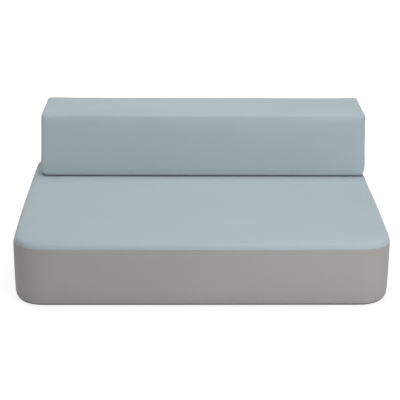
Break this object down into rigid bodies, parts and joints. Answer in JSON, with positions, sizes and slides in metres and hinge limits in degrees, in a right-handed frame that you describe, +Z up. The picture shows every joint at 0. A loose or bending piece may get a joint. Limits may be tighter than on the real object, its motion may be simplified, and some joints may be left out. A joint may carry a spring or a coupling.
{
  "type": "sofa bed",
  "caption": "Low foam sofa bed: a thick two-tone base and a square back block that folds down behind it to lengthen the bed.",
  "frame": {"origin": "on the floor, under the middle of the base block", "axes": "+X to the right of someone facing the sofa and along its width, -Y out of its front, +Z up"},
  "size_m": [1.9118, 1.4095, 0.7179],
  "materials": {
    "blue_grey_fabric": "matte",
    "warm_grey_fabric": "matte",
    "grip_fabric": "matte",
    "firm_foam": "matte",
    "soft_foam": "matte",
    "wadding": "matte",
    "grip_tape": "matte",
    "zip_tape": "matte",
    "zip_coil": "satin",
    "zip_metal": "satin"
  },
  "bodies": {
    "base": {"base_foam_support": "firm_foam", "base_foam_comfort": "soft_foam", "base_wadding": "wadding", "base_cover_top": "blue_grey_fabric", "base_cover_border": "warm_grey_fabric", "base_cover_bottom": "grip_fabric", "seat_loop_strip_1": "grip_tape", "seat_loop_strip_2": "grip_tape", "seat_loop_strip_3": "grip_tape", "hinge_leaf_base": "blue_grey_fabric", "base_zip_tape_upper": "zip_tape", "base_zip_tape_lower": "zip_tape", "base_zip_chain": "zip_coil", "base_zip_stop_left": "zip_metal", "base_zip_stop_right": "zip_metal"},
    "backrest": {"back_foam_core": "soft_foam", "back_wadding": "wadding", "back_cover_wrap": "blue_grey_fabric", "back_cover_end_left": "blue_grey_fabric", "back_cover_end_right": "blue_grey_fabric", "back_hook_strip_1": "grip_tape", "back_hook_strip_2": "grip_tape", "back_hook_strip_3": "grip_tape", "hinge_leaf_back": "blue_grey_fabric", "back_zip_tape_upper": "zip_tape", "back_zip_tape_lower": "zip_tape", "back_zip_chain": "zip_coil", "back_zip_stop_left": "zip_metal", "back_zip_stop_right": "zip_metal"},
    "base_slider": {"base_zip_slider": "zip_metal"},
    "base_tab": {"base_zip_pull": "zip_metal"},
    "back_slider": {"back_zip_slider": "zip_metal"},
    "back_tab": {"back_zip_pull": "zip_metal"}
  },
  "joints": [
    {"name": "backrest_fold", "type": "hinge", "parent": "base", "child": "backrest", "pos_m": [0.02, 0.7045, 0.35925], "axis": [-1, 0, 0], "range_deg": [0, 180]},
    {"name": "base_zip_slide", "type": "slide", "parent": "base", "child": "base_slider", "axis": [-1, 0, 0], "range_m": [0, 1.513]},
    {"name": "base_tab_swing", "type": "hinge", "parent": "base_slider", "child": "base_tab", "pos_m": [0.7565, 0.70271, 0.1], "axis": [0, 0, -1], "range_deg": [0, 180]},
    {"name": "back_zip_slide", "type": "slide", "parent": "backrest", "child": "back_slider", "axis": [-1, 0, 0], "range_m": [0, 1.673]},
    {"name": "back_tab_swing", "type": "hinge", "parent": "back_slider", "child": "back_tab", "pos_m": [0.8565, 0.70271, 0.5099], "axis": [0, 0, -1], "range_deg": [0, 180]}
  ]
}
